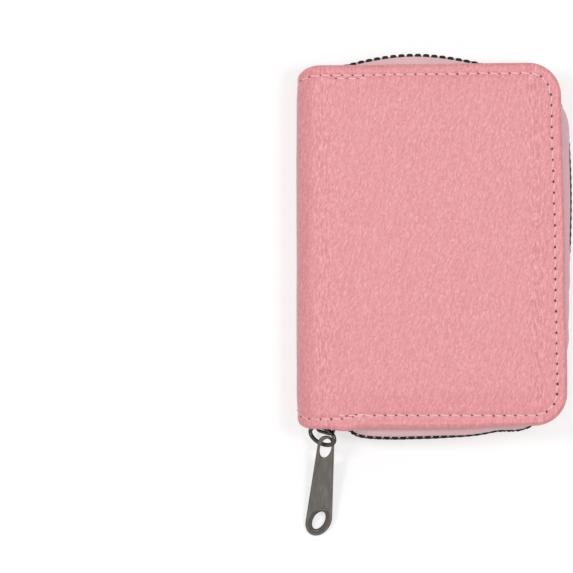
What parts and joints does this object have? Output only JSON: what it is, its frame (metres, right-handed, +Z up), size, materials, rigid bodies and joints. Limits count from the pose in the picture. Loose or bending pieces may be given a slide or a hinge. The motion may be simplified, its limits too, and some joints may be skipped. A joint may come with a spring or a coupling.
{
  "type": "zip card wallet",
  "caption": "Zip-round leather card wallet that folds open at its spine and fans an accordion of fabric card pockets, with a metal slider, ring and pull.",
  "frame": {"origin": "centre of the back cover's outer face, with the wallet closed and lying on it", "axes": "+X from the spine to the fore-edge, +Y from the tail, where the slider is, to the head, +Z up through the thickness"},
  "size_m": [0.0829, 0.1448, 0.025],
  "materials": {
    "pink_leather": "semi-gloss pebbled grain",
    "grey_board": "plain",
    "mauve_lining": "smooth coated lining",
    "pale_tape": "woven zip tape",
    "black_teeth": "glossy black",
    "black_fabric": "fine matt weave",
    "taupe_fabric": "matt weave",
    "dark_metal": "dark gunmetal, brushed"
  },
  "bodies": {
    "back_cover": {"back_leather": "pink_leather", "back_fold_leather": "pink_leather", "back_board": "grey_board", "back_lining": "mauve_lining", "back_tape": "pale_tape", "back_teeth": "black_teeth", "back_end_stop": "dark_metal"},
    "spine": {"spine_leather": "pink_leather", "spine_board": "grey_board", "spine_lining": "mauve_lining", "accordion_base": "black_fabric", "gusset_lower": "black_fabric", "gusset_upper": "black_fabric", "end_tab_lower": "taupe_fabric", "end_tab_upper": "taupe_fabric"},
    "front_cover": {"front_leather": "pink_leather", "front_fold_leather": "pink_leather", "front_board": "grey_board", "front_lining": "mauve_lining", "front_tape": "pale_tape", "front_teeth": "black_teeth", "front_end_stop": "dark_metal"},
    "outer_leaf_back_wall": {"outer_leaf_back": "black_fabric"},
    "leaf_01_wall": {"leaf_01": "black_fabric"},
    "leaf_02_wall": {"leaf_02": "black_fabric"},
    "leaf_03_wall": {"leaf_03": "black_fabric"},
    "leaf_04_wall": {"leaf_04": "black_fabric"},
    "leaf_05_wall": {"leaf_05": "black_fabric"},
    "leaf_06_wall": {"leaf_06": "black_fabric"},
    "leaf_07_wall": {"leaf_07": "black_fabric"},
    "leaf_08_wall": {"leaf_08": "black_fabric"},
    "leaf_09_wall": {"leaf_09": "black_fabric"},
    "leaf_10_wall": {"leaf_10": "black_fabric"},
    "leaf_11_wall": {"leaf_11": "black_fabric"},
    "leaf_12_wall": {"leaf_12": "black_fabric"},
    "leaf_13_wall": {"leaf_13": "black_fabric"},
    "leaf_14_wall": {"leaf_14": "black_fabric"},
    "leaf_15_wall": {"leaf_15": "black_fabric"},
    "leaf_16_wall": {"leaf_16": "black_fabric"},
    "leaf_17_wall": {"leaf_17": "black_fabric"},
    "leaf_18_wall": {"leaf_18": "black_fabric"},
    "outer_leaf_front_wall": {"outer_leaf_front": "black_fabric"},
    "slider": {"slider_body": "dark_metal", "slider_crown": "dark_metal"},
    "ring": {"pull_ring": "dark_metal"},
    "pull": {"pull_tab": "dark_metal"}
  },
  "joints": [
    {"name": "spine_fold", "type": "hinge", "parent": "back_cover", "child": "spine", "pos_m": [-0.039, 0, 0.0015], "axis": [0, -1, 0], "range_deg": [0, 90], "deforming": ["back_fold_leather", "accordion_base", "gusset_lower", "gusset_upper"]},
    {"name": "front_fold", "type": "hinge", "parent": "spine", "child": "front_cover", "pos_m": [-0.039, 0, 0.0235], "axis": [0, -1, 0], "range_deg": [0, 90], "deforming": ["front_fold_leather"]},
    {"name": "leaf_09_fan", "type": "hinge", "parent": "spine", "child": "leaf_09_wall", "pos_m": [-0.0319, 0, 0.0125], "axis": [0, -1, 0], "range_deg": [-3.5, 0]},
    {"name": "leaf_10_fan", "type": "hinge", "parent": "leaf_09_wall", "child": "leaf_10_wall", "pos_m": [-0.0319, 0, 0.0125], "axis": [0, -1, 0], "range_deg": [0, 7]},
    {"name": "leaf_08_fan", "type": "hinge", "parent": "leaf_09_wall", "child": "leaf_08_wall", "pos_m": [-0.0319, 0, 0.0116], "axis": [0, -1, 0], "range_deg": [-7, 0]},
    {"name": "leaf_07_fan", "type": "hinge", "parent": "leaf_08_wall", "child": "leaf_07_wall", "pos_m": [-0.0319, 0, 0.0107], "axis": [0, -1, 0], "range_deg": [-7, 0]},
    {"name": "leaf_06_fan", "type": "hinge", "parent": "leaf_07_wall", "child": "leaf_06_wall", "pos_m": [-0.0319, 0, 0.0098], "axis": [0, -1, 0], "range_deg": [-7, 0]},
    {"name": "leaf_05_fan", "type": "hinge", "parent": "leaf_06_wall", "child": "leaf_05_wall", "pos_m": [-0.0319, 0, 0.0089], "axis": [0, -1, 0], "range_deg": [-7, 0]},
    {"name": "leaf_04_fan", "type": "hinge", "parent": "leaf_05_wall", "child": "leaf_04_wall", "pos_m": [-0.0319, 0, 0.008], "axis": [0, -1, 0], "range_deg": [-7, 0]},
    {"name": "leaf_03_fan", "type": "hinge", "parent": "leaf_04_wall", "child": "leaf_03_wall", "pos_m": [-0.0319, 0, 0.0071], "axis": [0, -1, 0], "range_deg": [-7, 0]},
    {"name": "leaf_02_fan", "type": "hinge", "parent": "leaf_03_wall", "child": "leaf_02_wall", "pos_m": [-0.0319, 0, 0.0062], "axis": [0, -1, 0], "range_deg": [-7, 0]},
    {"name": "leaf_01_fan", "type": "hinge", "parent": "leaf_02_wall", "child": "leaf_01_wall", "pos_m": [-0.0319, 0, 0.0053], "axis": [0, -1, 0], "range_deg": [-7, 0]},
    {"name": "outer_leaf_back_fan", "type": "hinge", "parent": "leaf_01_wall", "child": "outer_leaf_back_wall", "pos_m": [-0.0319, 0, 0.0044], "axis": [0, -1, 0], "range_deg": [-30.5, 0]},
    {"name": "leaf_11_fan", "type": "hinge", "parent": "leaf_10_wall", "child": "leaf_11_wall", "pos_m": [-0.0319, 0, 0.0134], "axis": [0, -1, 0], "range_deg": [0, 7]},
    {"name": "leaf_12_fan", "type": "hinge", "parent": "leaf_11_wall", "child": "leaf_12_wall", "pos_m": [-0.0319, 0, 0.0143], "axis": [0, -1, 0], "range_deg": [0, 7]},
    {"name": "leaf_13_fan", "type": "hinge", "parent": "leaf_12_wall", "child": "leaf_13_wall", "pos_m": [-0.0319, 0, 0.0152], "axis": [0, -1, 0], "range_deg": [0, 7]},
    {"name": "leaf_14_fan", "type": "hinge", "parent": "leaf_13_wall", "child": "leaf_14_wall", "pos_m": [-0.0319, 0, 0.0161], "axis": [0, -1, 0], "range_deg": [0, 7]},
    {"name": "leaf_15_fan", "type": "hinge", "parent": "leaf_14_wall", "child": "leaf_15_wall", "pos_m": [-0.0319, 0, 0.017], "axis": [0, -1, 0], "range_deg": [0, 7]},
    {"name": "leaf_16_fan", "type": "hinge", "parent": "leaf_15_wall", "child": "leaf_16_wall", "pos_m": [-0.0319, 0, 0.0179], "axis": [0, -1, 0], "range_deg": [0, 7]},
    {"name": "leaf_17_fan", "type": "hinge", "parent": "leaf_16_wall", "child": "leaf_17_wall", "pos_m": [-0.0319, 0, 0.0188], "axis": [0, -1, 0], "range_deg": [0, 7]},
    {"name": "leaf_18_fan", "type": "hinge", "parent": "leaf_17_wall", "child": "leaf_18_wall", "pos_m": [-0.0319, 0, 0.0197], "axis": [0, -1, 0], "range_deg": [0, 7]},
    {"name": "outer_leaf_front_fan", "type": "hinge", "parent": "leaf_18_wall", "child": "outer_leaf_front_wall", "pos_m": [-0.0319, 0, 0.0206], "axis": [0, -1, 0], "range_deg": [0, 30.5]},
    {"name": "zip_travel", "type": "hinge", "parent": "back_cover", "child": "slider", "pos_m": [-0.003, 0.0434, 0.0125], "axis": [0, 0, 1], "range_deg": [0, 29], "deforming": ["back_teeth", "front_teeth"]},
    {"name": "ring_swing", "type": "hinge", "parent": "slider", "child": "ring", "pos_m": [-0.03191, -0.05494, 0.0125], "axis": [0.5907, -0.1736, 0.788], "range_deg": [-30, 40]},
    {"name": "pull_swing", "type": "hinge", "parent": "ring", "child": "pull", "pos_m": [-0.03157, -0.05995, 0.01115], "axis": [-0.9594, 0.282, 0], "range_deg": [-8, 32]}
  ],
  "couplings": [
    {"joint": "front_fold", "follows": "spine_fold", "ratio": 1},
    {"joint": "leaf_09_fan", "follows": "spine_fold", "ratio": -0.038889},
    {"joint": "leaf_10_fan", "follows": "spine_fold", "ratio": 0.077778},
    {"joint": "leaf_08_fan", "follows": "spine_fold", "ratio": -0.077778},
    {"joint": "leaf_07_fan", "follows": "spine_fold", "ratio": -0.077778},
    {"joint": "leaf_06_fan", "follows": "spine_fold", "ratio": -0.077778},
    {"joint": "leaf_05_fan", "follows": "spine_fold", "ratio": -0.077778},
    {"joint": "leaf_04_fan", "follows": "spine_fold", "ratio": -0.077778},
    {"joint": "leaf_03_fan", "follows": "spine_fold", "ratio": -0.077778},
    {"joint": "leaf_02_fan", "follows": "spine_fold", "ratio": -0.077778},
    {"joint": "leaf_01_fan", "follows": "spine_fold", "ratio": -0.077778},
    {"joint": "outer_leaf_back_fan", "follows": "spine_fold", "ratio": -0.33889},
    {"joint": "leaf_11_fan", "follows": "spine_fold", "ratio": 0.077778},
    {"joint": "leaf_12_fan", "follows": "spine_fold", "ratio": 0.077778},
    {"joint": "leaf_13_fan", "follows": "spine_fold", "ratio": 0.077778},
    {"joint": "leaf_14_fan", "follows": "spine_fold", "ratio": 0.077778},
    {"joint": "leaf_15_fan", "follows": "spine_fold", "ratio": 0.077778},
    {"joint": "leaf_16_fan", "follows": "spine_fold", "ratio": 0.077778},
    {"joint": "leaf_17_fan", "follows": "spine_fold", "ratio": 0.077778},
    {"joint": "leaf_18_fan", "follows": "spine_fold", "ratio": 0.077778},
    {"joint": "outer_leaf_front_fan", "follows": "spine_fold", "ratio": 0.33889}
  ]
}
